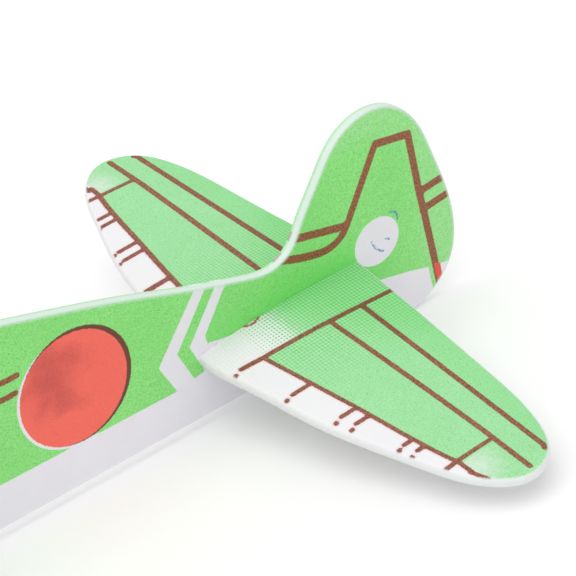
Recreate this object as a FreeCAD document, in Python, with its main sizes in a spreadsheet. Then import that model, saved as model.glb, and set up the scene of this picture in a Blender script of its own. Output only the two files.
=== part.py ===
import FreeCAD, Part

# A slot-together foam glider with a free-spinning propeller on its nose, in millimetres.
# It stands on its belly: +X is forward, +Y is to port and +Z is up. The origin is on the surface it
# stands on, below the middle of its length. The airframe is three die-cut sheets: a fuselage with
# the fin in one piece with it, and a wing and a tailplane that slide through slots in the fuselage.
# A moulded clip on the nose holds the ballast and the pin that the propeller turns on.

import math
import os

from FreeCAD import Placement, Rotation, Vector

PARTS_FOLDER = "parts"
BLADES = 2

# Driving dimensions, in millimetres and degrees.
DIMENSIONS = {
    "foam_thickness": 1.6,
    "slot_clearance": 0.05,
    # tailplane: its hinge line crosses the fuselage at the hinge station, at the slot's height
    "hinge_station": -73.0,
    "tail_slot_height": 13.8,
    "tail_chord": 29.8,
    "tail_span": 100.8,
    "tail_hinge_chord": 6.1,
    "tail_flat_chord": 2.8,
    "tail_droop_radius": 175.0,
    "tail_anhedral": 2.45,
    "tail_bend_width": 6.0,
    "tail_yaw": -2.4,
    "tail_pitch": 1.07,
    "tail_roll": -3.15,
    # wing: its slot starts at the rear station
    "wing_rear_station": 4.0,
    "wing_slot_height": 11.6,
    "wing_chord": 50.0,
    "wing_span": 180.0,
    "wing_camber": 2.2,
    "wing_dihedral": 5.0,
    "wing_bend_width": 24.0,
    # belly and nose
    "belly_height": 1.75,
    "rest_rear": 12.0,
    "rest_front": 51.0,
    "foam_nose": 80.5,
    "thrust_height": 16.5,
    # nose clip, measured from its front face on the thrust line
    "clip_front": 88.0,
    "clip_length": 18.0,
    "clip_height": 16.0,
    "clip_width": 8.0,
    "boss_radius": 2.4,
    "boss_length": 1.4,
    "slug_radius": 2.2,
    "slug_length": 5.0,
    "slug_drop": 4.2,
    # propeller and its pin
    "propeller_diameter": 56.0,
    "hub_radius": 3.4,
    "hub_length": 4.4,
    "end_play": 0.15,
    "pin_radius": 0.75,
    "pin_length": 11.5,
    "running_clearance": 0.06,
    "head_radius": 2.7,
    "head_length": 4.2,
}

document = FreeCAD.newDocument("foam_glider")
sheet = document.addObject("Spreadsheet::Sheet", "Dims")
for row, (alias, value) in enumerate(DIMENSIONS.items(), start=1):
    sheet.set(f"A{row}", alias)
    sheet.set(f"B{row}", str(value))
    sheet.setAlias(f"B{row}", alias)
document.recompute()


def dim(alias):
    """The value of one driving dimension."""
    return float(sheet.get(alias))


# ---- helpers -----------------------------------------------------------------------------------


def flat(x, y):
    """A point in a sketch's own plane."""
    return Vector(x, y, 0)


def new_body(name):
    """An empty body whose label is the sub-part's name."""
    body = document.addObject("PartDesign::Body", name)
    body.Label = name
    return body


def origin_feature(body, role):
    """One of the body's own origin planes or axes, such as XY_Plane or X_Axis."""
    return next(item for item in body.Origin.OriginFeatures if item.Role == role)


def sketch(body, name, plane, geometry, offset=None):
    """A sketch on one of the body's origin planes, holding the given curves."""
    item = body.newObject("Sketcher::SketchObject", name)
    item.AttachmentSupport = (origin_feature(body, plane), [""])
    item.MapMode = "FlatFace"
    if offset:
        item.AttachmentOffset = offset
    item.addGeometry(geometry, False)
    return item


def polygon(points):
    """The closed run of straight lines through the points."""
    following = points[1:] + points[:1]
    return [Part.LineSegment(flat(*a), flat(*b)) for a, b in zip(points, following)]


def circle(x, y, radius):
    """A whole circle."""
    return [Part.Circle(flat(x, y), Vector(0, 0, 1), radius)]


def curve(points, start=None, end=None):
    """A smooth curve through the points, with a given direction at either end or both."""
    spline = Part.BSplineCurve()
    free = Vector(1, 0, 0)  # stands in the list where no direction is given
    inner = [free] * (len(points) - 2)
    tangents = [flat(*start) if start else free, *inner, flat(*end) if end else free]
    given = [bool(start), *[False] * len(inner), bool(end)]
    places = [flat(*p) for p in points]
    spline.interpolate(places, PeriodicFlag=False, Tangents=tangents, TangentFlags=given)
    return spline


def mirrored_planform(half):
    """The closed smooth outline of a sheet, from its starboard-to-port half: (x, y) with y >= 0."""
    port = half[1:-1]
    starboard = [(x, -y) for x, y in reversed(port)]
    points = [half[0], *port, half[-1], *starboard]
    spline = Part.BSplineCurve()
    spline.interpolate([flat(*p) for p in points], PeriodicFlag=True)
    return [spline]


def pad(body, name, profile, expression, symmetric=True):
    """Material on both sides of a sketch, or on one, as thick as the expression says."""
    item = body.newObject("PartDesign::Pad", name)
    item.Profile = profile
    item.SideType = "Symmetric" if symmetric else "One side"
    item.setExpression("Length", expression)
    return item


def cut_through(body, name, profile):
    """Everything within the sketch's outline cut away, right through the body."""
    before = solid_volume(body)
    item = body.newObject("PartDesign::Pocket", name)
    item.Profile = profile
    item.Type = "ThroughAll"
    item.SideType = "Symmetric"
    expect_smaller(body, name, before)
    return item


def cut_blind(body, name, profile, expression, reverse=False):
    """A pocket of the depth that the expression says."""
    before = solid_volume(body)
    item = body.newObject("PartDesign::Pocket", name)
    item.Profile = profile
    item.Type = "Length"
    item.Reversed = reverse
    item.setExpression("Length", expression)
    expect_smaller(body, name, before)
    return item


def solid_volume(body):
    """The volume of the body so far."""
    document.recompute()
    return body.Shape.Volume


def expect_smaller(body, name, before):
    """Stop if a cut took nothing away."""
    if solid_volume(body) > before - 1e-3:
        raise RuntimeError(f"{name} cut nothing")


def fillet(body, name, base, edges, radius):
    """Rounded edges on the body's last feature."""
    item = body.newObject("PartDesign::Fillet", name)
    item.Base = (base, edges)
    item.Radius = radius
    document.recompute()
    return item


def edges_where(feature, test):
    """The names of a feature's edges that pass a test."""
    edges = enumerate(feature.Shape.Edges, start=1)
    return [f"Edge{number}" for number, edge in edges if test(edge)]


def bent_strip(rear, crown, front, radius, top, bottom, flat_rear):
    """The edge-on outline of a sheet that droops along an arc ahead of its crown.

    The sheet's top face is level at the crown. Behind it the sheet is flat, or droops the same way.
    """

    def arc_point(x, height):
        reach = radius + height
        return x, math.sqrt(reach**2 - (x - crown) ** 2) - radius

    def arc_run(first, last, height):
        middle = (first + last) / 2
        return Part.Arc(*[flat(*arc_point(x, height)) for x in (first, middle, last)])

    start = crown if flat_rear else rear
    top_start, bottom_start = arc_point(start, top), arc_point(start, bottom)
    top_end, bottom_end = arc_point(front, top), arc_point(front, bottom)
    outline = [
        arc_run(start, front, top),
        Part.LineSegment(flat(*top_end), flat(*bottom_end)),
        arc_run(start, front, bottom),
    ]
    if flat_rear:
        outline += [
            Part.LineSegment(flat(rear, top), flat(*top_start)),
            Part.LineSegment(flat(rear, bottom), flat(*bottom_start)),
            Part.LineSegment(flat(rear, bottom), flat(rear, top)),
        ]
    else:
        outline.append(Part.LineSegment(flat(*bottom_start), flat(*top_start)))
    return outline


def spread_path(half_span, bend_width, angle):
    """A shallow V seen from behind, with an arc at its middle: the line that a sheet is swept along.

    Returns the curves, and the height of their ends over the middle. A negative angle droops.
    """
    slope = math.tan(math.radians(angle))
    half_bend = bend_width / 2
    sag = half_bend * math.tan(math.radians(angle) / 2)
    knee = sag
    rise = knee + (half_span - half_bend) * slope
    port = Part.LineSegment(flat(half_bend, knee), flat(half_span, rise))
    middle = Part.Arc(flat(-half_bend, knee), flat(0, 0), flat(half_bend, knee))
    starboard = Part.LineSegment(flat(-half_span, rise), flat(-half_bend, knee))
    return [starboard, middle, port], rise


def swept_sheet(name, strip, planform, half_span, bend_width, angle):
    """A sheet with the strip's shape edge-on, swept along its span and cut to its planform."""
    body = new_body(name)
    margin = 2.0  # how far the sweep runs past the planform's tips
    reach = half_span + margin
    path, rise = spread_path(reach, bend_width, angle)
    path_sketch = sketch(body, f"{name}_span", "YZ_Plane", path)
    at_tip = Placement(Vector(0, rise, reach), Rotation())
    strip_sketch = sketch(body, f"{name}_section", "XZ_Plane", strip, at_tip)
    sweep = body.newObject("PartDesign::AdditivePipe", f"{name}_sweep")
    sweep.Profile = strip_sketch
    sweep.Spine = (path_sketch, ["Edge1", "Edge2", "Edge3"])
    sweep.Mode = "Fixed"
    wide = 3 * reach
    frame = polygon([(-wide, -wide), (wide, -wide), (wide, wide), (-wide, wide)])
    cutter = sketch(body, f"{name}_planform", "XY_Plane", frame + planform)
    cut_through(body, f"{name}_die_cut", cutter)
    return body


# ---- fuselage ----------------------------------------------------------------------------------

# Outlines in the side view are measured from where the hinge line crosses the tail slot.
SKID_BOTTOM = (-13.0, -13.8)
SKID_FRONT = (3.0, -12.05)
FIN_AND_SPINE = [
    SKID_BOTTOM,
    (-20.2, -12.0),
    (-24.0, -8.2),
    (-25.2, -3.4),
    (-24.5, 3.0),
    (-21.8, 11.4),
    (-18.6, 18.5),
    (-13.5, 22.6),
    (-8.7, 23.0),
    (-4.0, 20.9),
    (0.2, 15.7),
    (3.7, 10.6),
    (5.9, 7.3),
    (9.4, 5.8),
    (14.5, 6.7),
    (21.9, 8.9),
    (33.0, 12.7),
    (53.2, 18.65),
    (65.5, 22.0),
    (75.0, 23.4),
    (84.0, 22.3),
    (92.0, 18.9),
    (98.0, 16.3),
    (105.0, 15.4),
    (124.0, 14.3),
    (140.0, 12.0),
    (149.0, 9.2),
]


def fuselage_outline():
    """The side view, counter-clockwise from the rear end of the level belly."""
    hinge, slot = dim("hinge_station"), dim("tail_slot_height")
    nose, thrust, belly = dim("foam_nose"), dim("thrust_height"), dim("belly_height")
    half_face = 3.6  # half the height of the upright edge at the front of the foam
    rest_rear, rest_front = dim("rest_rear"), dim("rest_front")

    def place(point):
        return point[0] + hinge, point[1] + slot

    scoop_rear = (rest_rear - 13.0, belly)
    skid_front, skid_bottom = place(SKID_FRONT), place(SKID_BOTTOM)
    face_top, face_bottom = (nose, thrust + half_face), (nose, thrust - half_face)
    top = [place(p) for p in FIN_AND_SPINE] + [face_top]
    skid = curve([skid_bottom, (skid_bottom[0] + 9.0, 0.85), skid_front], (1, 0), (1, 0))
    chin = [(rest_front, 0), (nose - 14.0, 2.6), (nose - 4.8, 7.0), face_bottom]
    return [
        curve([scoop_rear, (rest_rear - 6.5, belly / 2), (rest_rear, 0)], (1, 0), (1, 0)),
        Part.LineSegment(flat(rest_rear, 0), flat(rest_front, 0)),
        curve(chin, (1, 0), (0.3, 1)),
        Part.LineSegment(flat(*face_bottom), flat(*face_top)),
        curve(top, start=(-1, 0)),
        skid,
        Part.LineSegment(flat(*skid_front), flat(*scoop_rear)),
    ]


def tail_strip(rear, front, margin):
    """The tailplane edge-on, from its hinge line, grown by a margin all round."""
    crown, radius = dim("tail_flat_chord"), dim("tail_droop_radius")
    top, bottom = margin, -dim("foam_thickness") - margin
    return bent_strip(rear - margin, crown, front + margin, radius, top, bottom, True)


def wing_radius():
    """The radius of the wing's camber."""
    chord, camber = dim("wing_chord"), dim("wing_camber")
    return (chord**2 / 4 + camber**2) / (2 * camber)


def wing_strip(rear, front, margin):
    """The wing edge-on, from the crown of its camber, grown by a margin all round."""
    top, bottom = margin, -dim("foam_thickness") - margin
    return bent_strip(rear - margin, 0, front + margin, wing_radius(), top, bottom, False)


def wing_crown():
    """The side-view place of the wing's highest line."""
    middle = dim("wing_rear_station") + dim("wing_chord") / 2
    return middle, dim("wing_slot_height") + dim("foam_thickness") + dim("wing_camber")


def make_fuselage():
    """One sheet, with a slot for the wing and one for the tailplane."""
    body = new_body("fuselage")
    outline = sketch(body, "fuselage_outline", "XZ_Plane", fuselage_outline())
    pad(body, "fuselage_sheet", outline, "Dims.foam_thickness")
    clearance = dim("slot_clearance")
    hinge_chord, tail_chord = dim("tail_hinge_chord"), dim("tail_chord")
    tail_slot = tail_strip(-hinge_chord, tail_chord - hinge_chord, clearance)
    at_tail = Placement(
        flat(dim("hinge_station"), dim("tail_slot_height")),
        Rotation(Vector(0, 0, 1), -dim("tail_pitch")),
    )
    cutter = sketch(body, "tail_slot_outline", "XZ_Plane", tail_slot, at_tail)
    cut_through(body, "tail_slot", cutter)
    half_chord = dim("wing_chord") / 2
    wing_slot = wing_strip(-half_chord, half_chord, clearance)
    at_wing = Placement(flat(*wing_crown()), Rotation())
    cutter = sketch(body, "wing_slot_outline", "XZ_Plane", wing_slot, at_wing)
    cut_through(body, "wing_slot", cutter)
    return body


# ---- tailplane and wing ------------------------------------------------------------------------

# Half planforms, from the middle of the trailing edge round the tip to the leading edge. Distances
# run forward in chords from the trailing edge, and outward in half spans.
TAIL_HALF = [
    (0.0, 0.0),
    (0.021, 0.24),
    (0.062, 0.60),
    (0.121, 0.855),
    (0.231, 0.97),
    (0.393, 1.0),
    (0.555, 0.938),
    (0.707, 0.755),
    (0.862, 0.477),
    (0.955, 0.205),
    (0.995, 0.085),
    (0.996, 0.0),
]
WING_HALF = [
    (0.0, 0.0),
    (0.03, 0.30),
    (0.105, 0.62),
    (0.19, 0.855),
    (0.31, 0.962),
    (0.48, 1.0),
    (0.66, 0.955),
    (0.79, 0.83),
    (0.885, 0.60),
    (0.965, 0.29),
    (1.0, 0.0),
]


def planform(half, chord, span, rear):
    """A half planform in chords and half spans, as a whole outline in millimetres."""
    return mirrored_planform([(rear + x * chord, y * span / 2) for x, y in half])


def make_tailplane():
    """A drooping sheet that sits a little askew in its slot, as a hand-fitted tail does."""
    chord, span, hinge_chord = dim("tail_chord"), dim("tail_span"), dim("tail_hinge_chord")
    spare = 3.0  # the strip is this much longer than the chord at each end before it is cut
    strip = tail_strip(-hinge_chord - spare, chord - hinge_chord + spare, 0)
    outline = planform(TAIL_HALF, chord, span, -hinge_chord)
    bend, droop = dim("tail_bend_width"), -dim("tail_anhedral")
    body = swept_sheet("tailplane", strip, outline, span / 2, bend, droop)
    body.Placement = Placement(
        Vector(dim("hinge_station"), 0, dim("tail_slot_height")),
        Rotation(dim("tail_yaw"), dim("tail_pitch"), dim("tail_roll")),
    )
    return body


def make_wing():
    """A cambered sheet with a shallow V."""
    chord, span = dim("wing_chord"), dim("wing_span")
    spare = 3.0  # the strip is this much longer than the chord at each end before it is cut
    strip = wing_strip(-chord / 2 - spare, chord / 2 + spare, 0)
    outline = planform(WING_HALF, chord, span, -chord / 2)
    bend, dihedral = dim("wing_bend_width"), dim("wing_dihedral")
    body = swept_sheet("main_wing", strip, outline, span / 2, bend, dihedral)
    crown_x, crown_z = wing_crown()
    body.Placement = Placement(Vector(crown_x, 0, crown_z), Rotation())
    return body


# ---- nose clip and its ballast -----------------------------------------------------------------


def nose_place():
    """The middle of the clip's front face, on the thrust line."""
    return Placement(Vector(dim("clip_front"), 0, dim("thrust_height")), Rotation())


# Cross-sections of the clip from rear to front: distance behind the front face in clip lengths, then
# width and height as shares of the clip's own.
CLIP_SECTIONS = [
    (1.0, 0.53, 0.84),
    (0.68, 0.80, 0.96),
    (0.36, 1.0, 1.0),
    (0.12, 0.93, 0.84),
    (0.0, 0.78, 0.62),
]


def rounded_rectangle(width, height):
    """A tall rectangle with rounded corners, centred on the sketch's origin."""
    corner = 0.42 * width
    across, up = width / 2, height / 2
    inner_across, inner_up = across - corner, up - corner
    diagonal = corner * math.sqrt(0.5)
    curves = []
    for side, end in ((1, 1), (-1, 1), (-1, -1), (1, -1)):
        low = flat(side * across, end * inner_up)
        middle = flat(side * (inner_across + diagonal), end * (inner_up + diagonal))
        high = flat(side * inner_across, end * up)
        curves.append(Part.Arc(low, middle, high))
    for side in (1, -1):
        foot, head = flat(side * across, -inner_up), flat(side * across, inner_up)
        left, right = flat(-inner_across, side * up), flat(inner_across, side * up)
        curves += [Part.LineSegment(foot, head), Part.LineSegment(left, right)]
    return curves


def make_nose_clip():
    """Two thin cheeks that grip the foam, and a solid front with the bores for pin and ballast."""
    body = new_body("nose_clip")
    length, height, width = dim("clip_length"), dim("clip_height"), dim("clip_width")
    foam_depth = dim("clip_front") - dim("foam_nose")
    half_gap = dim("foam_thickness") / 2 + dim("slot_clearance")
    sections = []
    for number, (back, across, up) in enumerate(CLIP_SECTIONS):
        outline = rounded_rectangle(across * width, up * height)
        behind = Placement(Vector(0, 0, -back * length), Rotation())
        sections.append(sketch(body, f"clip_section_{number}", "YZ_Plane", outline, behind))
    cowl = body.newObject("PartDesign::AdditiveLoft", "clip_cowl")
    cowl.Profile = sections[0]
    cowl.Sections = sections[1:]
    boss_sketch = sketch(body, "clip_boss_outline", "YZ_Plane", circle(0, 0, dim("boss_radius")))
    pad(body, "clip_boss", boss_sketch, "Dims.boss_length", symmetric=False)
    wide = 2 * length
    gap = [(-wide, -half_gap), (-foam_depth, -half_gap), (-foam_depth, half_gap), (-wide, half_gap)]
    gap_sketch = sketch(body, "foam_gap_outline", "XY_Plane", polygon(gap))
    cut_through(body, "foam_gap", gap_sketch)
    bore_sketch = sketch(body, "pin_bore_outline", "YZ_Plane", circle(0, 0, dim("pin_radius")))
    cut_through(body, "pin_bore", bore_sketch)
    rear_face = Placement(Vector(0, 0, -foam_depth), Rotation())
    slug_circle = circle(0, -dim("slug_drop"), dim("slug_radius"))
    slug_sketch = sketch(body, "slug_bore_outline", "YZ_Plane", slug_circle, rear_face)
    cut_blind(body, "slug_bore", slug_sketch, "Dims.slug_length", reverse=True)
    body.Placement = nose_place()
    return body


def make_nose_weight():
    """The steel slug that fills the clip's blind bore."""
    body = new_body("nose_weight")
    profile = sketch(body, "slug_outline", "YZ_Plane", circle(0, 0, dim("slug_radius")))
    pad(body, "slug_cylinder", profile, "Dims.slug_length", symmetric=False)
    height = dim("thrust_height") - dim("slug_drop")
    body.Placement = Placement(Vector(dim("foam_nose"), 0, height), Rotation())
    return body


# ---- propeller and its pin ---------------------------------------------------------------------


def hub_middle():
    """The station of the middle of the hub."""
    return dim("clip_front") + dim("boss_length") + dim("end_play") + dim("hub_length") / 2


# Blade sections, outward from the hub: distance from the axis in propeller radii, chord and
# thickness in millimetres, and the angle of the chord to the plane that the blade turns in.
BLADE_SECTIONS = [
    (0.07, 3.6, 2.0, 52.0),
    (0.22, 5.4, 1.5, 44.0),
    (0.45, 8.2, 1.2, 32.0),
    (0.70, 8.8, 1.0, 24.0),
    (0.90, 6.6, 0.9, 19.0),
    (0.985, 3.4, 0.7, 17.0),
]


def blade_ellipse(chord, thickness, angle):
    """One blade section, as an ellipse whose long axis is the chord."""
    turn = math.radians(angle)
    along = Vector(math.sin(turn), math.cos(turn), 0) * (chord / 2)
    across = Vector(math.cos(turn), -math.sin(turn), 0) * (thickness / 2)
    return [Part.Ellipse(along, across, Vector(0, 0, 0))]


def make_propeller():
    """Two twisted blades on a round hub that turns on the pin."""
    body = new_body("propeller")
    radius = dim("propeller_diameter") / 2
    hub_sketch = sketch(body, "hub_outline", "YZ_Plane", circle(0, 0, dim("hub_radius")))
    hub = pad(body, "hub", hub_sketch, "Dims.hub_length")
    document.recompute()
    rim_length = 2 * math.pi * dim("hub_radius")
    rims = edges_where(hub, lambda edge: abs(edge.Length - rim_length) < 0.1)
    fillet(body, "hub_soft_rims", hub, rims, 0.7)
    sections = []
    for number, (reach, chord, thickness, angle) in enumerate(BLADE_SECTIONS):
        out = Placement(Vector(0, 0, -reach * radius), Rotation())
        section = blade_ellipse(chord, thickness, angle)
        sections.append(sketch(body, f"blade_section_{number}", "XZ_Plane", section, out))
    blade = body.newObject("PartDesign::AdditiveLoft", "blade")
    blade.Profile = sections[0]
    blade.Sections = sections[1:]
    document.recompute()
    blades = body.newObject("PartDesign::PolarPattern", "blades")
    blades.Originals = [blade]
    blades.Axis = (origin_feature(body, "X_Axis"), [""])
    blades.Angle = 360
    blades.Occurrences = BLADES
    body.Tip = blades
    bore = circle(0, 0, dim("pin_radius") + dim("running_clearance"))
    bore_sketch = sketch(body, "hub_bore_outline", "YZ_Plane", bore)
    cut_through(body, "hub_bore", bore_sketch)
    body.Placement = Placement(Vector(hub_middle(), 0, dim("thrust_height")), Rotation())
    return body


def make_propeller_pin():
    """A straight shank with a domed head, turned about the thrust line."""
    body = new_body("propeller_pin")
    shank, head = dim("pin_radius"), dim("head_radius")
    length, dome = dim("pin_length"), dim("head_length")
    rim = 0.6  # straight part of the head's side
    oval = Part.Ellipse(flat(dome, 0), flat(rim, head), flat(rim, 0))
    profile = [
        Part.LineSegment(flat(-length, 0), flat(-length, shank)),
        Part.LineSegment(flat(-length, shank), flat(0, shank)),
        Part.LineSegment(flat(0, shank), flat(0, head)),
        Part.LineSegment(flat(0, head), flat(rim, head)),
        Part.ArcOfEllipse(oval, 0, math.pi / 2),
        Part.LineSegment(flat(dome, 0), flat(-length, 0)),
    ]
    half_section = sketch(body, "pin_half_section", "XZ_Plane", profile)
    turned = body.newObject("PartDesign::Revolution", "pin_turned")
    turned.Profile = half_section
    turned.ReferenceAxis = (origin_feature(body, "X_Axis"), [""])
    turned.Angle = 360
    head_back = hub_middle() + dim("hub_length") / 2 + dim("end_play")
    body.Placement = Placement(Vector(head_back, 0, dim("thrust_height")), Rotation())
    return body


# ---- build, check and write --------------------------------------------------------------------


def failed_features():
    """The names of the features that did not compute."""
    bad = ("Invalid", "Error")
    return [item.Name for item in document.Objects if any(word in item.State for word in bad)]


def write_parts(bodies):
    """One STEP file for each sub-part, named after it."""
    os.makedirs(PARTS_FOLDER, exist_ok=True)
    for body in bodies:
        shape = body.Shape
        if shape.isNull() or not shape.isValid() or len(shape.Solids) != 1:
            raise RuntimeError(f"{body.Label} is not one valid solid")
        shape.exportStep(os.path.join(PARTS_FOLDER, f"{body.Label}.step"))
        box = shape.BoundBox
        print(f"{body.Label}: {shape.Volume:.0f} mm3, x {box.XMin:.2f} to {box.XMax:.2f},"
              f" y {box.YMin:.2f} to {box.YMax:.2f}, z {box.ZMin:.2f} to {box.ZMax:.2f}")


bodies = [
    make_fuselage(),
    make_wing(),
    make_tailplane(),
    make_nose_clip(),
    make_nose_weight(),
    make_propeller(),
    make_propeller_pin(),
]
document.recompute()
if failed_features():
    raise RuntimeError(f"these features failed: {failed_features()}")
write_parts(bodies)
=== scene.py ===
import math

import bpy
import numpy as np
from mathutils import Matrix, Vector
from mathutils.bvhtree import BVHTree
from mathutils.geometry import delaunay_2d_cdt


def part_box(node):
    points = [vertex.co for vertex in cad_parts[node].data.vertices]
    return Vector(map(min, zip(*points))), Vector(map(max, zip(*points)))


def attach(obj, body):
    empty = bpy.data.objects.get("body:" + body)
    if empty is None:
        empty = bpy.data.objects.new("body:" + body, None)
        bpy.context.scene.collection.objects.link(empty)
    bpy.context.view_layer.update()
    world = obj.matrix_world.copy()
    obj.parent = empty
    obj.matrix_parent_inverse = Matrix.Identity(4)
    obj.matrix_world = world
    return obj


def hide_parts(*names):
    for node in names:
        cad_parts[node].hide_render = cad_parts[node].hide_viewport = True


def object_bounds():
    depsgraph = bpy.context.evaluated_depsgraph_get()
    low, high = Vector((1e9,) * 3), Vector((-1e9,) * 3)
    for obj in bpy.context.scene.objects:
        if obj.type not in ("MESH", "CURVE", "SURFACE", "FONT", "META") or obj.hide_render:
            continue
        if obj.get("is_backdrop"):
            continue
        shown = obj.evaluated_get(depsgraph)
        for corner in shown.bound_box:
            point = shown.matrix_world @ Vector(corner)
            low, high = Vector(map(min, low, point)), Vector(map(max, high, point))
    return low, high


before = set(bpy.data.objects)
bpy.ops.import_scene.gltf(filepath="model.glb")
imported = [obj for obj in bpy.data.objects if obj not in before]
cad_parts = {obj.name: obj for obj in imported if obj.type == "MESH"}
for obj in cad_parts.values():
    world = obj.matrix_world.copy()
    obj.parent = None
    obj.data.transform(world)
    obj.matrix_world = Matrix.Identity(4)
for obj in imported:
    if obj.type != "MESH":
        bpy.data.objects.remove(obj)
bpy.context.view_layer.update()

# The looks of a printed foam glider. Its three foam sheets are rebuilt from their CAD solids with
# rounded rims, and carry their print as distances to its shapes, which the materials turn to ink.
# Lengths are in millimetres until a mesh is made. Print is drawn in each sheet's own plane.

MM = 0.001
BARE = 9.0  # a gap to print that is wide enough to leave the foam bare

# ---- shapes in a sheet's plane -----------------------------------------------------------------


def line_ends(line, closed=False):
    """The starts and the ends of the straight parts of a line."""
    starts = np.array(line, float)
    ends = np.roll(starts, -1, axis=0)
    return (starts, ends) if closed else (starts[:-1], ends[:-1])


def gap_to(points, line, closed=False):
    """How far each point is from a line."""
    nearest = np.full(len(points), np.inf)
    for start, end in zip(*line_ends(line, closed)):
        along = end - start
        share = np.clip((points - start) @ along / (along @ along), 0, 1)
        apart = points - start - share[:, None] * along
        nearest = np.minimum(nearest, np.hypot(*apart.T))
    return nearest


def inside(points, outline):
    """Whether each point is within a closed outline."""
    x, y = points.T
    odd = np.zeros(len(points), bool)
    for (x0, y0), (x1, y1) in zip(*line_ends(outline, closed=True)):
        if y0 != y1:
            passes = (y0 > y) != (y1 > y)
            odd ^= passes & (x < x0 + (y - y0) * (x1 - x0) / (y1 - y0))
    return odd


def region_gap(points, outline):
    """How far each point is outside a closed outline, less than zero inside it."""
    gap = gap_to(points, outline, closed=True)
    return np.where(inside(points, outline), -gap, gap)


def lines_gap(points, lines, width):
    """How far each point is outside the nearest of several lines of one width."""
    return np.min([gap_to(points, line) for line in lines], axis=0) - width / 2


def oval(centre, across, up, count=40):
    """The outline of an ellipse."""
    turns = np.linspace(0, 2 * math.pi, count, endpoint=False)
    return [(centre[0] + across * math.cos(t), centre[1] + up * math.sin(t)) for t in turns]


def smooth(points, steps=6):
    """A line that curves through the points."""
    ends = [np.array(p, float) for p in (points[0], *points, points[-1])]
    line = []
    for before, start, end, after in zip(ends, ends[1:], ends[2:], ends[3:]):
        for t in np.arange(steps) / steps:
            bend = (2 * before - 5 * start + 4 * end - after) * t**2
            turn = (3 * start - before - 3 * end + after) * t**3
            line.append((2 * start + (end - before) * t + bend + turn) / 2)
    return line + [ends[-1]]


def smooth_share(value, low, high):
    """0 below low, 1 above high and a soft rise between them."""
    share = np.clip((value - low) / (high - low), 0, 1)
    return share * share * (3 - 2 * share)


# ---- foam sheets -------------------------------------------------------------------------------

UPRIGHT = 0.6  # a triangle is on a face of its sheet if its normal rises at least this far
RIM_STEP = 0.5  # spacing of points round a sheet's outline
SLOT_STEP = 0.2  # and round a slot
RIM_PASSES = 3  # how many times the outline's corners are softened
SLOT_PASSES = 12  # and a slot's
SLOT_GRIP = 0.3  # how far the foam closes in on the sheet that fills a slot
RIM_SHARES = (0.06, 0.2, 0.45, 0.75, 1.1)  # rings of points across the rounding of a rim
SPARE_SHARE = 0.35  # share of its spacing that a lattice keeps clear of rings and slots


def cad_triangles(node):
    """The corners of a CAD node's triangles, as one (n, 3, 3) array."""
    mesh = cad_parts[node].data
    places = np.empty(len(mesh.vertices) * 3)
    mesh.vertices.foreach_get("co", places)
    mesh.calc_loop_triangles()
    corners = np.empty(len(mesh.loop_triangles) * 3, int)
    mesh.loop_triangles.foreach_get("vertices", corners)
    return places.reshape(-1, 3)[corners].reshape(-1, 3, 3) / MM


def directions(triangles):
    """The unit normals of triangles, and their areas."""
    cross = np.cross(triangles[:, 1] - triangles[:, 0], triangles[:, 2] - triangles[:, 0])
    length = np.linalg.norm(cross, axis=1)
    return cross / np.maximum(length, 1e-12)[:, None], length / 2


def own_axes(triangles):
    """A wing-like sheet's chord, span and upward directions, and the middle of its rear edge.

    The directions are those in which the upper face's area spreads most and least.
    """
    normals, areas = directions(triangles)
    upper = normals[:, 2] > UPRIGHT
    corners, areas = triangles[upper], areas[upper, None, None]
    centres = corners.mean(axis=1)
    middle = (centres * areas[:, 0]).sum(axis=0) / areas.sum()
    corners, centres = corners - middle, centres - middle
    # a triangle's area spreads as its three corners do, with its centre counted nine times
    spread = np.einsum("tki,tkj->tij", corners, corners)
    spread += 9 * np.einsum("ti,tj->tij", centres, centres)
    _, vectors = np.linalg.eigh((spread * areas).sum(axis=0))
    up, chord, span = vectors.T
    axes = np.array([chord * np.sign(chord[0]), span * np.sign(span[1]), up * np.sign(up[2])])
    rear = ((triangles.reshape(-1, 3) - middle) @ axes[0]).min()
    return axes, middle + rear * axes[0]


def border_loops(triangles):
    """The closed borders of a patch of triangles, given as keys, longest run first."""
    runs = {(a, b) for t in triangles for a, b in zip(t, (*t[1:], t[0]))}
    following = {a: b for a, b in sorted(runs) if (b, a) not in runs}
    loops = []
    while following:
        first = next(iter(following))
        loop = [first]
        while (step := following.pop(loop[-1])) != first:
            loop.append(step)
        loops.append(loop)
    return sorted(loops, key=len, reverse=True)


def evenly(loop, step, passes):
    """A closed loop with evenly spaced points, its corners softened by a number of passes."""
    closed = np.vstack([loop, loop[:1]])
    reach = np.concatenate([[0], np.cumsum(np.hypot(*np.diff(closed, axis=0).T))])
    places = np.linspace(0, reach[-1], int(reach[-1] / step), endpoint=False)
    even = np.column_stack([np.interp(places, reach, side) for side in closed.T])
    for _ in range(passes):
        even = (np.roll(even, 1, axis=0) + 2 * even + np.roll(even, -1, axis=0)) / 4
    return even


def inset_ring(loop, inset):
    """Points a little inside a counter-clockwise loop, without those that fold in on its corners."""
    along = np.roll(loop, -1, axis=0) - np.roll(loop, 1, axis=0)
    inward = np.column_stack([-along[:, 1], along[:, 0]]) / np.hypot(*along.T)[:, None]
    ring = loop + inset * inward
    return ring[gap_to(ring, loop, closed=True) > 0.9 * inset]


def grid(low, high, step):
    """Points on a lattice of even triangles over a rectangle."""
    row_step = step * math.sqrt(0.75)  # the height of a triangle with even sides
    rows = np.arange(low[1], high[1], row_step)
    columns = np.arange(low[0], high[0], step)
    shift = (np.arange(len(rows)) % 2) * step / 2
    across = columns[None, :] + shift[:, None]
    return np.column_stack([across.ravel(), np.repeat(rows, len(columns))])


def counter_clockwise(loop):
    """The loop turned to run counter-clockwise."""
    x, y = loop.T
    area = (x * np.roll(y, -1) - y * np.roll(x, -1)).sum()
    return loop if area > 0 else loop[::-1]


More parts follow.
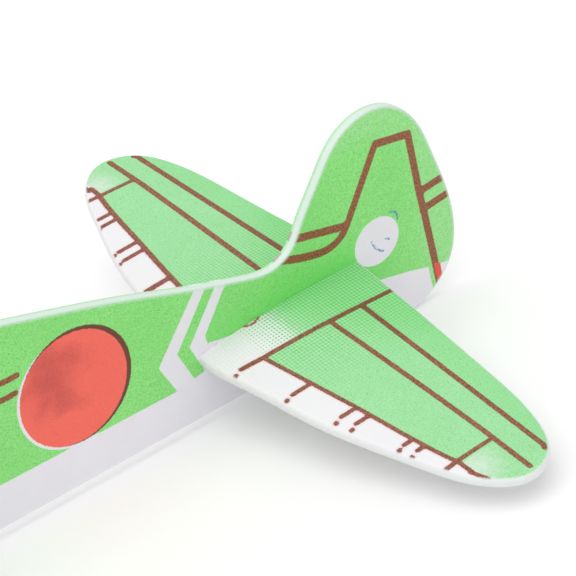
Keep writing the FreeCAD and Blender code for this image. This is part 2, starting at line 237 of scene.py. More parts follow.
def surface_heights(points, triangles, from_above):
    """The height of a face of the sheet over each point of its plane."""
    corners = triangles.reshape(-1, 3)
    tree = BVHTree.FromPolygons(corners.tolist(), np.arange(len(corners)).reshape(-1, 3).tolist())
    sign = 1 if from_above else -1
    way = Vector((0, 0, -sign))
    clear = 50.0 * sign  # a height well away from the sheet
    middle = corners[:, 2].mean()
    heights = []
    for x, y in points:
        hit = tree.ray_cast(Vector((x, y, clear)), way)[0]
        heights.append((hit or tree.find_nearest(Vector((x, y, middle)))[0]).z)
    return np.array(heights)


def sheet_plan(upper):
    """The outline of a sheet's upper face and its slots, counter-clockwise."""
    keys = [[tuple(corner) for corner in t] for t in np.round(upper[:, :, :2], 3).tolist()]
    outer, *slots = [counter_clockwise(np.array(loop)) for loop in border_loops(keys)]
    slots = [inset_ring(evenly(slot, SLOT_STEP, SLOT_PASSES), SLOT_GRIP) for slot in slots]
    return evenly(outer, RIM_STEP, RIM_PASSES), slots


def inner_points(outer, slots, steps, rim_width):
    """Rings of points along the rim, and lattices of points over the rest of the sheet."""
    patches = [inset_ring(outer, rim_width * share) for share in RIM_SHARES]
    ends = [start for start, _ in steps[1:]] + [np.inf]
    for (start, step), end in zip(steps, ends):
        points = grid(outer.min(axis=0), outer.max(axis=0), step)
        points = points[(points[:, 0] >= start) & (points[:, 0] < end)]
        spare = SPARE_SHARE * step
        points = points[region_gap(points, outer) < -RIM_SHARES[-1] * rim_width - spare]
        for slot in slots:
            points = points[region_gap(points, slot) > spare]
        patches.append(points)
    return np.vstack(patches)


def triangulated(outer, slots, inner):
    """Triangles over a sheet's plan: their points, and the numbers of their corners."""
    edges = []
    count = 0
    for loop in (outer, *slots):
        numbers = list(range(count, count + len(loop)))
        edges += zip(numbers, numbers[1:] + numbers[:1])
        count += len(loop)
    cloud = [Vector(point) for point in np.vstack([outer, *slots, inner])]
    flat, _, faces, *_ = delaunay_2d_cdt(cloud, edges, [], 0, 1e-5, False)
    flat, faces = np.array([tuple(point) for point in flat]), np.array(faces)
    centres = flat[faces].mean(axis=1)
    kept = inside(centres, outer)
    for slot in slots:
        kept &= ~inside(centres, slot)
    return flat, faces[kept]


def carry(mesh, name, values):
    """Values, or places, that the mesh's points carry for its material."""
    is_place = values.ndim == 2
    attribute = mesh.attributes.new(name, "FLOAT_VECTOR" if is_place else "FLOAT", "POINT")
    attribute.data.foreach_set("vector" if is_place else "value", values.astype(np.float32).ravel())


def foam_sheet(name, node, axes, origin, steps, rim, art, both_faces):
    """A foam sheet with a rounded rim, rebuilt from its CAD node.

    steps says how far apart its points are, and from where along the sheet: [(start, spacing)].
    rim is the width of the rounding and its squareness. art takes points of the sheet's plane, and
    gives their gaps to each kind of print. The print is on the upper face or on both.
    """
    triangles = (cad_triangles(node) - origin) @ axes.T
    normals, _ = directions(triangles)
    upper, lower = triangles[normals[:, 2] > UPRIGHT], triangles[normals[:, 2] < -UPRIGHT]
    outer, slots = sheet_plan(upper)
    rim_width, squareness = rim
    flat, faces = triangulated(outer, slots, inner_points(outer, slots, steps, rim_width))
    rim_loop, *slot_loops = border_loops([tuple(face) for face in faces.tolist()])

    top, bottom = surface_heights(flat, upper, True), surface_heights(flat, lower, False)
    inset = gap_to(flat, outer, closed=True)
    thinned = np.clip(1 - inset / rim_width, 0, 1) ** squareness
    half = (top - bottom) / 2 * (1 - thinned) ** (1 / squareness)
    middle = (top + bottom) / 2
    front = np.column_stack([flat, middle + half])
    back = np.column_stack([flat, middle - half])
    count = len(flat)
    back_number = np.arange(count) + count
    back_number[rim_loop] = rim_loop  # the two faces share the points of the rim
    walls = []
    for loop in slot_loops:
        walls += [(b, a, a + count, b + count) for a, b in zip(loop, loop[1:] + loop[:1])]
    polygons = faces.tolist() + back_number[faces[:, ::-1]].tolist() + walls
    used = np.unique(np.concatenate([faces.ravel(), back_number[faces].ravel()]))
    renumbered = np.zeros(2 * count, int)
    renumbered[used] = np.arange(len(used))
    polygons = [renumbered[list(polygon)].tolist() for polygon in polygons]
    places = np.vstack([front, back])[used]

    mesh = bpy.data.meshes.new(name)
    mesh.from_pydata(((places @ axes + origin) * MM).tolist(), [], polygons)
    mesh.shade_smooth()
    for kind, values in art(flat).items():
        is_print = kind not in ("fade", "weave", "painted_shade")
        behind = np.full(count, BARE) if is_print and not both_faces else values
        carry(mesh, kind, np.concatenate([values, behind])[used])
    carry(mesh, "inset", np.concatenate([inset, inset])[used])
    carry(mesh, "place", places)
    piece = bpy.data.objects.new(name, mesh)
    bpy.context.scene.collection.objects.link(piece)
    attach(piece, "airframe")
    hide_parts(node)
    return piece


# ---- print -------------------------------------------------------------------------------------

SIDE_LINE = 1.3  # width of the lines printed on the fuselage
FLASH_LINE = 0.95  # and of the two that run forward from its disc
FLAT_LINE = 0.85  # and on the wing and the tailplane
FRONT_LINE = 0.72  # and along their front edges
MARK_LINE = 0.72  # and of the marks ahead of those
DOT_WIDTH = 0.75  # and of the dots ahead of the marks
SCUFF_WIDTH = 0.34  # and of the loose blue strokes on the fin
FULL_INK = 1.3  # a fade at which the ink covers the foam
STARBOARD_SPREAD = 0.07  # how much further the lines spread on the tailplane's starboard half


def side_print(points):
    """The fuselage's print, measured forward of its rearmost point and up from its lowest."""
    fin_lines = [
        [(32.9, 22.9), (30.2, 22.6), (25.5, 21.5), (20.6, 20.4), (14.2, 31.1), (8.0, 30.1),
         (6.6, 19.7)],
        [(6.6, 19.7), (5.8, 15.2), (4.75, 8.6), (3.95, 3.3), (3.7, 1.0)],
        smooth([(33.8, 20.6), (29.5, 19.1), (25.5, 18.2), (23.2, 18.4), (21.5, 19.3), (20.5, 20.6)]),
        [(6.6, 19.7), (1.7, 20.2)],
        [(6.1, 16.5), (0.7, 17.1)],
    ]
    flashes = [
        smooth([(77.3, 23.85), (81.0, 24.0), (90.3, 26.2), (99.3, 28.2)]),
        smooth([(78.0, 21.3), (82.0, 21.5), (92.3, 23.8), (104.3, 25.6), (126.3, 26.2)]),
    ]
    nose_lines = [
        smooth([(101.3, 35.2), (99.8, 31.5), (99.3, 28.2), (112.3, 28.6), (123.3, 29.6),
                (127.8, 31.2)]),
        [(107.8, 36.6), (107.1, 28.5)],
        [(113.8, 36.6), (113.5, 28.7)],
        [(119.8, 35.4), (119.5, 29.2)],
        smooth([(140.3, 31.0), (137.9, 24.0), (137.9, 14.0), (139.8, 5.5)]),
        smooth([(161.3, 29.5), (159.9, 22.0), (160.1, 13.0), (162.3, 6.0)]),
        [(141.8, 24.5), (146.8, 24.6)],
        [(148.8, 24.6), (153.8, 24.6)],
        [(141.8, 21.0), (146.8, 21.1)],
        [(148.8, 21.1), (153.8, 21.1)],
    ]
    lines = lines_gap(points, fin_lines + nose_lines, SIDE_LINE)
    lines = np.minimum(lines, lines_gap(points, flashes, FLASH_LINE))
    belly = [(-9, 4.9), (2.2, 5.5), (6.0, 6.2), (9.5, 7.2), (15.1, 8.4), (47.9, 9.2), (53.1, 8.3),
             (85.3, 8.7), (140.3, 7.4), (160.3, 8.2), (190, 10), (190, -9), (-9, -9)]
    root_wedge = [(47.0, 13.4), (44.6, 12.9), (41.8, 12.4), (41.8, 10.0), (47.0, 10.0)]
    rear_stripe = [(47.3, 14.8), (46.5, 9.0), (48.1, 9.3), (50.1, 14.2), (44.6, 21.7), (38.6, 30.0),
                   (36.3, 30.0), (42.7, 21.4)]
    front_stripe = [(52.3, 14.1), (49.9, 8.6), (53.1, 8.3), (55.6, 13.5), (48.0, 22.9), (42.4, 30.0),
                    (40.2, 30.0), (46.2, 22.3)]
    fin_oval = oval((15.3, 15.2), 4.25, 3.9)
    disc_edge = oval((69.45, 17.35), 8.9, 8.9)
    canopy = smooth([(99.7, 38.0), (99.9, 31.8), (99.5, 28.3), (112.3, 28.6), (123.3, 29.6),
                     (128.8, 31.4), (128.3, 38.0)])
    white_shapes = (belly, root_wedge, rear_stripe, front_stripe, fin_oval, disc_edge, canopy)
    bare = np.min([region_gap(points, outline) for outline in white_shapes], axis=0)
    sliver = region_gap(points, [(4.8, 7.0), (5.9, 7.2), (5.1, 1.2), (3.9, 1.2)])
    disc = region_gap(points, oval((69.2, 17.4), 8.7, 8.7))
    smudge = region_gap(points, oval((72.0, 20.3), 2.4, 3.6))
    shade = region_gap(points, oval((68.75, 17.55), 9.0, 9.0))
    trace = region_gap(points, [(4.65, 6.4), (3.45, 5.8), (3.0, 2.2), (4.15, 2.2)])
    beside_tail = smooth_share(points[:, 0], 10.0, 20.0)
    beside_tail = beside_tail * (1 - smooth_share(points[:, 0], 38.0, 52.0))
    scuffs = lines_gap(points, [
        smooth([(11.1, 17.1), (11.3, 18.4), (12.5, 18.9)]),
        smooth([(14.2, 13.0), (15.5, 14.0), (16.4, 15.7)]),
        [(12.9, 14.5), (13.6, 14.9)],
    ], SCUFF_WIDTH)
    ahead_of_rudder = smooth_share(points[:, 0], 4.0, 22.0)
    ahead_of_rudder = ahead_of_rudder * (1 - smooth_share(points[:, 1], 22.0, 35.0))
    return {
        "green": np.minimum(-bare, sliver),
        "line": lines,
        "disc": disc,
        "shade": shade,
        "smudge": smudge,
        "trace": trace,
        "scuff": scuffs,
        "fade": 0.8 + ahead_of_rudder,
        "weave": np.zeros(len(points)),
        # painted shade: a deeper green on the fuselage's side below and beside the tailplane's root
        "painted_shade": beside_tail * (1 - smooth_share(points[:, 1], 11.0, 20.0)),
    }


def tail_print(points):
    """The tailplane's print, measured forward of its hinge line and outward.

    The two halves have the same print, but the starboard one starts nearer the middle and is heavier,
    and its marks lie further forward.
    """
    hinge = 6.1  # from the rear edge to the hinge line
    root_shift, mark_shift, dot_shift = 2.0, (0.4, -0.3), (1.15, -1.0)  # of the starboard print
    starboard = points[:, 1] < 0
    points = np.column_stack([points[:, 0] - hinge, np.abs(points[:, 1])])
    points[:, 1] += root_shift * starboard * (1 - smooth_share(points[:, 1], 7.0, 24.0))
    mark_points = points - starboard[:, None] * mark_shift
    dot_points = points - starboard[:, None] * dot_shift

    root_line = [(-5.8, 9.3), (0.0, 9.1), (17.2, 8.6), (21.0, 8.25)]
    front_line = [(17.3, 9.0), (15.4, 19.0), (14.1, 26.0), (13.0, 33.0), (11.9, 39.0), (11.0, 42.7)]
    lines = [
        root_line,
        [(0.2, 9.2), (0.5, 47.3), (0.8, 47.9)],
        [(5.8, 9.1), (5.3, 20.0), (4.9, 30.0), (4.6, 40.0), (4.6, 49.2)],
    ]
    front_lines = [front_line + [(10.9, 45.0)], [(4.7, 42.0), (11.0, 42.2), (13.3, 42.4)]]
    marks = [
        [(15.9, 17.3), (19.0, 17.3)],
        [(14.3, 25.3), (16.9, 25.3)],
        [(13.9, 27.7), (16.3, 27.7)],
        [(12.6, 35.2), (14.2, 35.2)],
        [(12.2, 37.2), (13.6, 37.2)],
        [(11.1, 44.9), (10.2, 47.4)],
    ]
    longer_marks = [[rear, (front[0] + 0.8, front[1])] for rear, front in marks]
    dot_places = [(22.2, 8.7), (20.1, 17.6), (18.0, 25.7), (17.3, 28.2), (15.2, 35.5), (14.8, 37.6)]
    dots = [[(x, y), (x + 0.25, y + 0.1)] for x, y in dot_places]
    mark_gap = np.where(
        starboard,
        lines_gap(mark_points, longer_marks, MARK_LINE),
        lines_gap(points, marks, MARK_LINE),
    )
    strokes = np.min([
        lines_gap(points, lines, FLAT_LINE),
        lines_gap(points, front_lines, FRONT_LINE),
        mark_gap,
        lines_gap(dot_points, dots, DOT_WIDTH),
    ], axis=0)

    ahead_outline = [(10.9, 44.0), (10.2, 52.0), (30.0, 52.0), (30.0, 8.0), (17.2, 8.0)]
    ahead = region_gap(points, front_line + ahead_outline)
    root_front = 17.4  # the front end of the green beside the fuselage
    root_green = np.where(points[:, 0] < root_front, -BARE, BARE)
    inboard = points[:, 1] < np.interp(points[:, 0], *np.transpose(root_line))
    root_fade = np.interp(points[:, 0], (7.0, 9.5, 12.0, 14.5, 17.0, 18.5),
                          (1.15, 0.74, 0.42, 0.25, 0.06, -0.3))
    beyond = region_gap(points, [(4.3, 42.0), (14.0, 42.2), (30.0, 42.2), (30.0, 60.0), (4.3, 60.0)])
    tip = smooth_share(-beyond, 0.0, 1.0) * smooth_share(points[:, 0], 1.0, 10.0)
    tip *= 1 - smooth_share(points[:, 1], 44.5, 55.0)
    ring_centre, ring_radius, half_width = 14.2, 1.9, 0.22
    ring = np.abs(np.hypot(points[:, 0] - ring_centre, points[:, 1]) - ring_radius) - half_width
    # painted shade: a deeper green near the fuselage, and a fainter one behind the hinge line
    root_shade = 1 - smooth_share(points[:, 1] + 1.4 * points[:, 0], 8.0, 26.0)
    behind_hinge = 1 - smooth_share(points[:, 0], -1.0, 1.5)
    bare = np.full(len(points), BARE)
    return {
        "green": np.where(inboard, root_green, -ahead),
        "line": strokes - STARBOARD_SPREAD * starboard,
        "disc": bare,
        "shade": bare,
        "smudge": bare,
        "trace": ring,
        "scuff": bare,
        "fade": np.where(inboard, root_fade, FULL_INK - 0.8 * tip),
        "weave": 1 - smooth_share(points[:, 1], 7.0, 26.0),
        "painted_shade": np.maximum(root_shade, 0.4 * behind_hinge),
    }


def wing_print(points):
    """The wing's print, measured forward of its rear edge and outward, the same on both sides."""
    points = np.column_stack([points[:, 0], np.abs(points[:, 1])])
    front_line = [(42.5, 10.0), (41.3, 30.0), (38.2, 52.0), (33.5, 70.0), (28.5, 81.0)]
    lines = [
        [(-1.0, 10.2), (20.0, 10.0), (46.0, 9.6)],
        [(9.5, 10.0), (10.2, 40.0), (12.2, 76.0), (13.2, 84.0)],
        [(10.2, 40.0), (1.5, 40.6)],
        [(12.2, 76.0), (5.0, 76.6)],
        [(25.0, 10.0), (24.6, 40.0), (23.0, 76.0), (22.6, 85.0)],
        [(24.9, 24.0), (41.6, 24.2)],
    ]
    front_lines = [front_line, [(12.2, 76.0), (31.0, 76.3), (34.0, 76.5)]]
    mark_places = [(20, 42.0, 45.6), (34, 40.9, 44.0), (37, 40.5, 43.2), (50, 38.6, 41.4),
                   (53, 38.0, 40.6), (66, 34.8, 37.2)]
    marks = [[(rear, outward), (front, outward)] for outward, rear, front in mark_places]
    dots = [[(front + 1.3, outward + 0.3), (front + 1.5, outward + 0.4)]
            for outward, _, front in mark_places]
    strokes = np.min([
        lines_gap(points, lines, FLAT_LINE),
        lines_gap(points, front_lines, FRONT_LINE),
        lines_gap(points, marks, MARK_LINE),
        lines_gap(points, dots, DOT_WIDTH),
    ], axis=0)

    ahead = region_gap(points, front_line + [(24.0, 92.0), (60.0, 92.0), (60.0, 9.7), (42.5, 9.7)])
    inboard = points[:, 1] < 9.8
    root_fade = np.interp(points[:, 0], (16.0, 22.0, 27.0, 33.0, 40.0), (1.2, 0.75, 0.42, 0.2, -0.25))
    tip = smooth_share(points[:, 1], 76.0, 78.0) * smooth_share(points[:, 0], 20.0, 34.0)
    disc = region_gap(points, oval((24.0, 57.0), 9.5, 9.5))
    disc_edge = region_gap(points, oval((24.3, 57.0), 9.75, 9.75))
    return {
        "green": np.maximum(np.where(inboard, -BARE, -ahead), -disc_edge),
        "line": np.maximum(strokes, 0.2 - disc),
        "disc": disc,
        "shade": region_gap(points, oval((23.6, 57.0), 9.8, 9.8)),
        "smudge": region_gap(points, oval((25.5, 58.5), 3.0, 4.4)),
        "trace": np.full(len(points), BARE),
        "scuff": np.full(len(points), BARE),
        "fade": np.where(inboard, root_fade, FULL_INK - tip),
        "weave": 1 - smooth_share(points[:, 1], 20.0, 60.0),
        # painted shade: a deeper green near the fuselage
        "painted_shade": 1 - smooth_share(points[:, 1] + 0.5 * points[:, 0], 10.0, 40.0),
    }


# ---- materials ---------------------------------------------------------------------------------


def srgb(red, green, blue):
    """A colour given as it looks on a screen, as the linear colour that a shader takes."""
    shares = [value / 255 for value in (red, green, blue)]
    return (*[s / 12.92 if s <= 0.04045 else ((s + 0.055) / 1.055) ** 2.4 for s in shares], 1.0)


SPECK_GREEN = srgb(88, 176, 86)  # dark specks in the green ink
PIT_SHADE_GREEN = srgb(94, 182, 100)  # painted shade: a darker green in the pits of the weave
GLINT_GREEN = srgb(186, 240, 188)  # and painted glints: a paler green on its high points
THIN_GREEN = srgb(136, 208, 142)  # green where it fades out
SHADE_BROWN = srgb(104, 58, 40)  # the crescent behind a red disc
DISC_RED = srgb(250, 106, 90)  # the disc itself
SMUDGE_RED = srgb(206, 80, 74)  # the darker cloud on a disc
HALO_PINK = srgb(236, 150, 140)  # the fringe of a brown line on white foam
PALE_BROWN = srgb(158, 92, 78)  # and the line itself there
TRACE_RED = srgb(224, 84, 74)  # the small red shapes at the rudder and at the tail's root
WOVEN_RED = srgb(176, 82, 64)  # and the same ink where the foam is woven
SCUFF_BLUE = srgb(52, 134, 184)  # the loose strokes on the fin
WEAVE_PITCHES = (0.54, 0.575)  # the weave's spacing along the chord and the span
FINE_SCALE = 4.2  # noise scales, per millimetre: the foam's finest grain
CELL_SCALE = 1.3  # its cells
PATCH_SCALE = 0.12  # broad uneven patches
SPECK_SCALE = 5.5  # specks in the green ink
MOTTLE_SCALE = 3.8  # mottling in the brown lines
CLOUD_SCALE = 0.25  # and the cloud on a disc
EDGE_WOBBLE = 0.4  # how unevenly the ink's edges run
GRAIN_HEIGHT = 0.04  # of the grain in the foam's surface
WEAVE_HEIGHT = 0.07  # and of the weave pressed into it


class Shader:
    """A material and the nodes that it is built from."""

    def __init__(self, name):
        self.material = bpy.data.materials.new(name)
        self.material.use_nodes = True
        self.tree = self.material.node_tree
        self.surface = self.tree.nodes["Principled BSDF"].inputs

    def feed(self, socket, value):
        """A socket set to a value, or linked to another node's output."""
        if isinstance(value, bpy.types.NodeSocket):
            self.tree.links.new(value, socket)
        else:
            socket.default_value = value

    def node(self, kind, inputs, **settings):
        """A new node with the given inputs and settings."""
        item = self.tree.nodes.new(kind)
        for name, value in settings.items():
            setattr(item, name, value)
        for socket, value in inputs.items():
            self.feed(item.inputs[socket], value)
        return item

    def math(self, operation, *values):
        """The result of a sum on one or more values."""
        return self.node("ShaderNodeMath", dict(enumerate(values)), operation=operation).outputs[0]

    def attribute(self, name, output="Fac"):
        """A value carried by the mesh's points."""
        return self.node("ShaderNodeAttribute", {}, attribute_name=name).outputs[output]

    def noise(self, place, scale, detail=2.0, roughness=0.5):
        """Soft random values around a half."""
        inputs = {"Vector": place, "Scale": scale, "Detail": detail, "Roughness": roughness}
        return self.node("ShaderNodeTexNoise", inputs).outputs[0]

    def rise(self, value, low, high, start=0.0, end=1.0):
        """A soft rise from one value to another as the input goes from low to high."""
        inputs = {"Value": value, "From Min": low, "From Max": high, "To Min": start, "To Max": end}
        kind = "ShaderNodeMapRange"
        return self.node(kind, inputs, interpolation_type="SMOOTHSTEP").outputs[0]

    def mix(self, share, first, second):
        """One colour laid over another."""
        return self.node("ShaderNodeMix", {0: share, 6: first, 7: second}, data_type="RGBA").outputs[2]

    def bump(self, height, distance, strength=1.0, under=None):
        """A bump of the given height in metres."""
        inputs = {"Height": height, "Distance": distance, "Strength": strength}
        if under:
            inputs["Normal"] = under
        return self.node("ShaderNodeBump", inputs).outputs[0]


def printed_foam(name, white, green, deep_green, painted_shade_green, brown, deep_brown, rim_colours,
                 rim_fade, bleed):
    """White foam with a fine grain and a woven emboss, printed in green, brown and red ink.

    white is a pair of shades. The third green is a painted shade: a deeper green that the foam is
    given where the sheets meet and shade one another. rim_colours are the rim's beside green ink and
    beside bare foam. rim_fade is how far in from the edge the ink starts and is full, and bleed is how
    much nearer the edge it starts on the upper face, which is the fuselage's starboard side. The
    weave's pits get a painted shade and its high points painted glints.
    """
    shader = Shader(name)
    place = shader.attribute("place", "Vector")
    fine = shader.noise(place, FINE_SCALE, 3.0, 0.65)
    cells = shader.noise(place, CELL_SCALE, 2.0)
    patches = shader.noise(place, PATCH_SCALE, 2.0)
    wobble = shader.math("MULTIPLY", shader.math("SUBTRACT", fine, 0.5), EDGE_WOBBLE)

    def ink(kind, soft=0.07):
        edge = shader.math("ADD", shader.attribute(kind), wobble)
        return shader.rise(edge, soft, -soft)

    # the weave pressed into the foam runs along the chord and the span, and breaks up thin ink
    split = shader.node("ShaderNodeSeparateXYZ", {0: place}).outputs
    waves = [shader.math("COSINE", shader.math("MULTIPLY", split[side], 2 * math.pi / pitch))
             for side, pitch in enumerate(WEAVE_PITCHES)]
    weave = shader.math("MULTIPLY_ADD", shader.math("ADD", *waves), 0.25, 0.5)
    woven = shader.attribute("weave")
    drift = shader.math("MULTIPLY", shader.math("SUBTRACT", cells, 0.5), 0.4)
    level = shader.math("MULTIPLY_ADD", shader.math("SUBTRACT", weave, 0.5), woven, 0.5)
    fade = shader.attribute("fade")
    cover = shader.math("SUBTRACT", shader.math("ADD", fade, drift), level)
    softness = shader.math("MULTIPLY_ADD", woven, -0.36, 0.5)
    dots = shader.rise(cover, shader.math("MULTIPLY", softness, -1.0), softness)

    foam = shader.mix(patches, *white)
    tone = shader.mix(shader.rise(fine, 0.3, 0.7), green, deep_green)
    tone = shader.mix(shader.rise(patches, 0.35, 0.75, 0.0, 0.3), tone, deep_green)
    # painted shade: a deeper green where the sheets meet and shade one another
    tone = shader.mix(shader.math("MULTIPLY", shader.attribute("painted_shade"), 0.8), tone, painted_shade_green)
    specks = shader.rise(shader.noise(place, SPECK_SCALE, 1.0), 0.6, 0.72, 0.0, 0.6)
    tone = shader.mix(specks, tone, SPECK_GREEN)
    # painted shade in the weave's pits and painted glints on its high points, laid over the colour
    pit_shade = shader.math("MULTIPLY", woven, shader.rise(weave, 0.55, 0.1, 0.0, 0.55))
    tone = shader.mix(pit_shade, tone, PIT_SHADE_GREEN)
    glints = shader.math("MULTIPLY", woven, shader.rise(weave, 0.5, 0.95, 0.0, 0.4))
    tone = shader.mix(glints, tone, GLINT_GREEN)
    thin_ink = shader.math("MULTIPLY", woven, shader.rise(fade, 0.9, 0.4, 0.0, 0.7))
    tone = shader.mix(thin_ink, tone, THIN_GREEN)
    washed = shader.rise(fade, 0.3, 0.95, 0.0, 0.85)
    greened = shader.math("MULTIPLY", ink("green"), shader.math("MAXIMUM", dots, washed))
    colour = shader.mix(greened, foam, tone)
    colour = shader.mix(ink("shade"), colour, SHADE_BROWN)
    cloud = shader.rise(shader.noise(place, CLOUD_SCALE, 1.0), 0.3, 0.7, -1.4, 1.4)
    smudge = shader.rise(shader.math("ADD", shader.attribute("smudge"), cloud), 5.0, -2.5, 0.0, 0.9)
    smudge = shader.math("ADD", smudge, shader.rise(fine, 0.35, 0.65, -0.12, 0.12))
    colour = shader.mix(ink("disc"), colour, shader.mix(smudge, DISC_RED, SMUDGE_RED))

    on_white = shader.math("SUBTRACT", 1.0, greened)
    halo = shader.rise(shader.attribute("line"), 0.4, 0.0, 0.0, 0.3)
    colour = shader.mix(shader.math("MULTIPLY", halo, on_white), colour, HALO_PINK)
    line_ink = shader.mix(on_white, brown, PALE_BROWN)
    mottle = shader.rise(shader.noise(place, MOTTLE_SCALE, 2.0, 0.7), 0.42, 0.6)
    # the brown lines darken with their own mottle, and with the painted shade where the sheets meet
    mottle_and_shade = shader.math("MULTIPLY_ADD", shader.attribute("painted_shade"), 0.5, mottle)
    line_ink = shader.mix(mottle_and_shade, line_ink, deep_brown)
    red = shader.mix(woven, TRACE_RED, WOVEN_RED)
    colour = shader.mix(ink("line"), colour, line_ink)
    colour = shader.mix(ink("trace"), colour, red)
    colour = shader.mix(shader.math("MULTIPLY", ink("scuff"), 0.9), colour, SCUFF_BLUE)

    bled = shader.rise(split[2], 0.0, 0.3, 0.0, bleed)
    reach = shader.math("ADD", shader.math("ADD", shader.attribute("inset"), bled), wobble)
    bare_rim = shader.mix(shader.rise(shader.attribute("green"), 1.5, 3.5), *rim_colours)
    colour = shader.mix(shader.rise(reach, *rim_fade), bare_rim, colour)
    shader.feed(shader.surface["Base Color"], colour)
    shader.feed(shader.surface["Roughness"], shader.rise(fine, 0.2, 0.8, 0.5, 0.72))
    grain = shader.bump(shader.math("ADD", fine, cells), GRAIN_HEIGHT * MM)
    pressed = shader.math("MULTIPLY", weave, woven)
    shader.feed(shader.surface["Normal"], shader.bump(pressed, WEAVE_HEIGHT * MM, 1.0, grain))
    return shader.material


def moulded_plastic(name, colour, deep, roughness):
    """Moulded plastic, with faint flow marks in its colour and its shine and a fine grain.

    Its noise scales, and the steel's, are per metre.
    """
    shader = Shader(name)
    place = shader.node("ShaderNodeTexCoord", {}).outputs["Object"]
    flow = shader.noise(place, 120.0, 3.0)
    fine = shader.noise(place, 2500.0, 2.0)
    shader.feed(shader.surface["Base Color"], shader.mix(flow, colour, deep))
    uneven = shader.rise(flow, 0.3, 0.7, roughness - 0.06, roughness + 0.08)
    shader.feed(shader.surface["Roughness"], uneven)
    shader.feed(shader.surface["Normal"], shader.bump(fine, 0.004 * MM))
    return shader.material


def ground_steel(name):
    """Bare steel with a fine uneven grain."""
    shader = Shader(name)
    place = shader.node("ShaderNodeTexCoord", {}).outputs["Object"]
    marks = shader.noise(place, 1800.0, 2.0)
    colour = shader.mix(marks, srgb(150, 150, 152), srgb(190, 190, 192))
    shader.feed(shader.surface["Base Color"], colour)
    shader.surface["Metallic"].default_value = 1.0
    shader.feed(shader.surface["Roughness"], shader.rise(marks, 0.3, 0.7, 0.3, 0.45))
    return shader.material


def dress(piece, material):
    """Gives a piece its only material."""
    piece.data.materials.clear()
    piece.data.materials.append(material)


# ---- the model ---------------------------------------------------------------------------------

side_foam = printed_foam(
    "side_foam",
    white=(srgb(231, 228, 235), srgb(237, 235, 241)),
    green=srgb(153, 236, 136),
    deep_green=srgb(126, 217, 109),
    # painted shade: the deeper green given where the sheets meet
    painted_shade_green=srgb(114, 226, 100),
    brown=srgb(168, 102, 62),
    deep_brown=srgb(108, 60, 30),
    rim_colours=(srgb(214, 230, 220), srgb(238, 238, 243)),
    rim_fade=(0.0, 0.75),
    bleed=0.36,
)
flat_foam = printed_foam(
    "flat_foam",
    white=(srgb(233, 231, 235), srgb(237, 236, 239)),
    green=srgb(169, 228, 171),
    deep_green=srgb(144, 214, 147),
    # painted shade: the deeper green given where the sheets meet
    painted_shade_green=srgb(126, 213, 126),
    brown=srgb(160, 104, 76),
    deep_brown=srgb(112, 66, 42),
    rim_colours=(srgb(226, 231, 228), srgb(230, 230, 233)),
    rim_fade=(0.1, 0.5),
    bleed=0.0,
)

SIDE_RIM = (0.28, 3.0)  # the width and squareness of the rounding of the fuselage's rim
FLAT_RIM = (0.6, 2.5)  # and of the wing's and the tailplane's
FINE_STEP = 0.42  # spacing of the points that carry the finest print
COARSE_STEP = 0.8  # and of the rest

low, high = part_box("fuselage")
side_axes = np.array([(1, 0, 0), (0, 0, 1), (0, -1, 0)], float)
side_origin = np.array((low.x, (low.y + high.y) / 2, low.z)) / MM
side_steps = [(-1.0, FINE_STEP), (86.0, COARSE_STEP)]
fuselage = foam_sheet("fuselage_foam", "fuselage", side_axes, side_origin, side_steps, SIDE_RIM,
                      side_print, both_faces=True)
dress(fuselage, side_foam)
for name, node, step, art in (
    ("tailplane_foam", "tailplane", FINE_STEP, tail_print),
    ("wing_foam", "main_wing", COARSE_STEP, wing_print),
):
    axes, origin = own_axes(cad_triangles(node))
    sheet = foam_sheet(name, node, axes, origin, [(-10.0, step)], FLAT_RIM, art, both_faces=False)
    dress(sheet, flat_foam)

clip_red = moulded_plastic("clip_red", srgb(222, 62, 52), srgb(206, 50, 42), 0.34)
propeller_red = moulded_plastic("propeller_red", srgb(226, 60, 50), srgb(208, 48, 42), 0.26)
pin_white = moulded_plastic("pin_white", srgb(236, 236, 232), srgb(224, 224, 220), 0.28)
for node, material in (
    ("nose_clip", clip_red),
    ("propeller", propeller_red),
    ("propeller_pin", pin_white),
    ("nose_weight", ground_steel("slug_steel")),
):
    dress(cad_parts[node], material)

# ---- floor, light and camera, in metres --------------------------------------------------------

FLOOR_TILT = 4.5  # the aircraft leans towards its drooped port tail, so the floor rises to port
FLOOR_REACH = 3.0
PORT_FACE = 0.0008  # half the foam's thickness: the tilted floor meets the belly at its port edge
FLOOR_GAP = 0.00005  # keeps the floor just clear of the belly


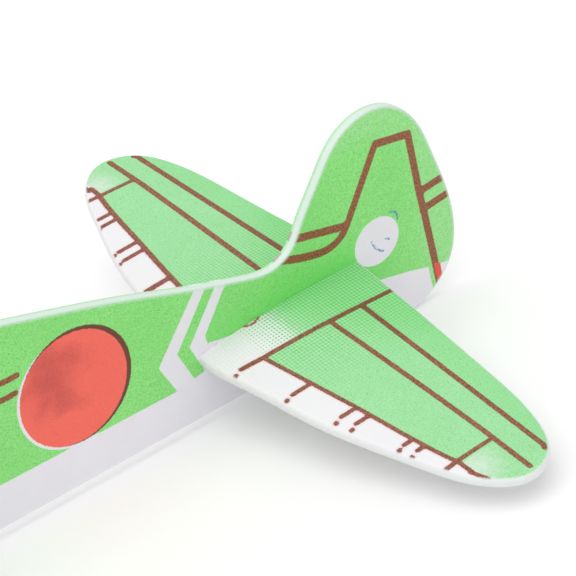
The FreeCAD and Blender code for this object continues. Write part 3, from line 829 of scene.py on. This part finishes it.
def floor():
    """A sheet of pale paper under the aircraft."""
    mesh = bpy.data.meshes.new("floor")
    corners = [(x * FLOOR_REACH, y * FLOOR_REACH, 0) for x, y in ((-1, -1), (1, -1), (1, 1), (-1, 1))]
    mesh.from_pydata(corners, [], [(0, 1, 2, 3)])
    sheet = bpy.data.objects.new("floor", mesh)
    sheet.location = (0, PORT_FACE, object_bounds()[0].z - FLOOR_GAP)
    sheet.rotation_euler.x = math.radians(FLOOR_TILT)
    bpy.context.scene.collection.objects.link(sheet)
    paper = Shader("floor_paper")
    paper.surface["Base Color"].default_value = (0.93, 0.93, 0.93, 1)
    paper.surface["Roughness"].default_value = 0.9
    paper.surface["Specular IOR Level"].default_value = 0.1
    paper.surface["Emission Color"].default_value = (1, 1, 1, 1)
    paper.surface["Emission Strength"].default_value = 0.04
    dress(sheet, paper.material)
    sheet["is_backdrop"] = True


def light():
    """Even light from all round, and a large soft lamp overhead and a little ahead."""
    scene = bpy.context.scene
    scene.view_settings.view_transform = "Standard"
    world = bpy.data.worlds.new("studio")
    world.use_nodes = True
    sky = world.node_tree.nodes["Background"].inputs
    sky["Color"].default_value = (1, 1, 1, 1)
    sky["Strength"].default_value = 0.79
    scene.world = world
    lamp = bpy.data.objects.new("overhead", bpy.data.lights.new("overhead", "AREA"))
    lamp.data.shape = "DISK"
    lamp.data.size = 1.2
    lamp.data.energy = 4.9
    lamp.location = (0.34, 0.09, 0.95)
    tail = Vector((-0.05, 0, 0))
    lamp.rotation_euler = (tail - lamp.location).to_track_quat("-Z", "Y").to_euler()
    scene.collection.objects.link(lamp)


def camera():
    """A long lens that looks down on the tail from port and ahead."""
    item = bpy.data.objects.new("camera", bpy.data.cameras.new("camera"))
    item.data.lens = 142.47
    item.data.sensor_width = 36.0
    item.data.clip_start = 0.01
    item.location = (0.0939, 0.2201, 0.1930)
    item.rotation_euler = [math.radians(turn) for turn in (56.634, 5.266, 140.438)]
    bpy.context.scene.collection.objects.link(item)
    bpy.context.scene.camera = item


floor()
light()
camera()
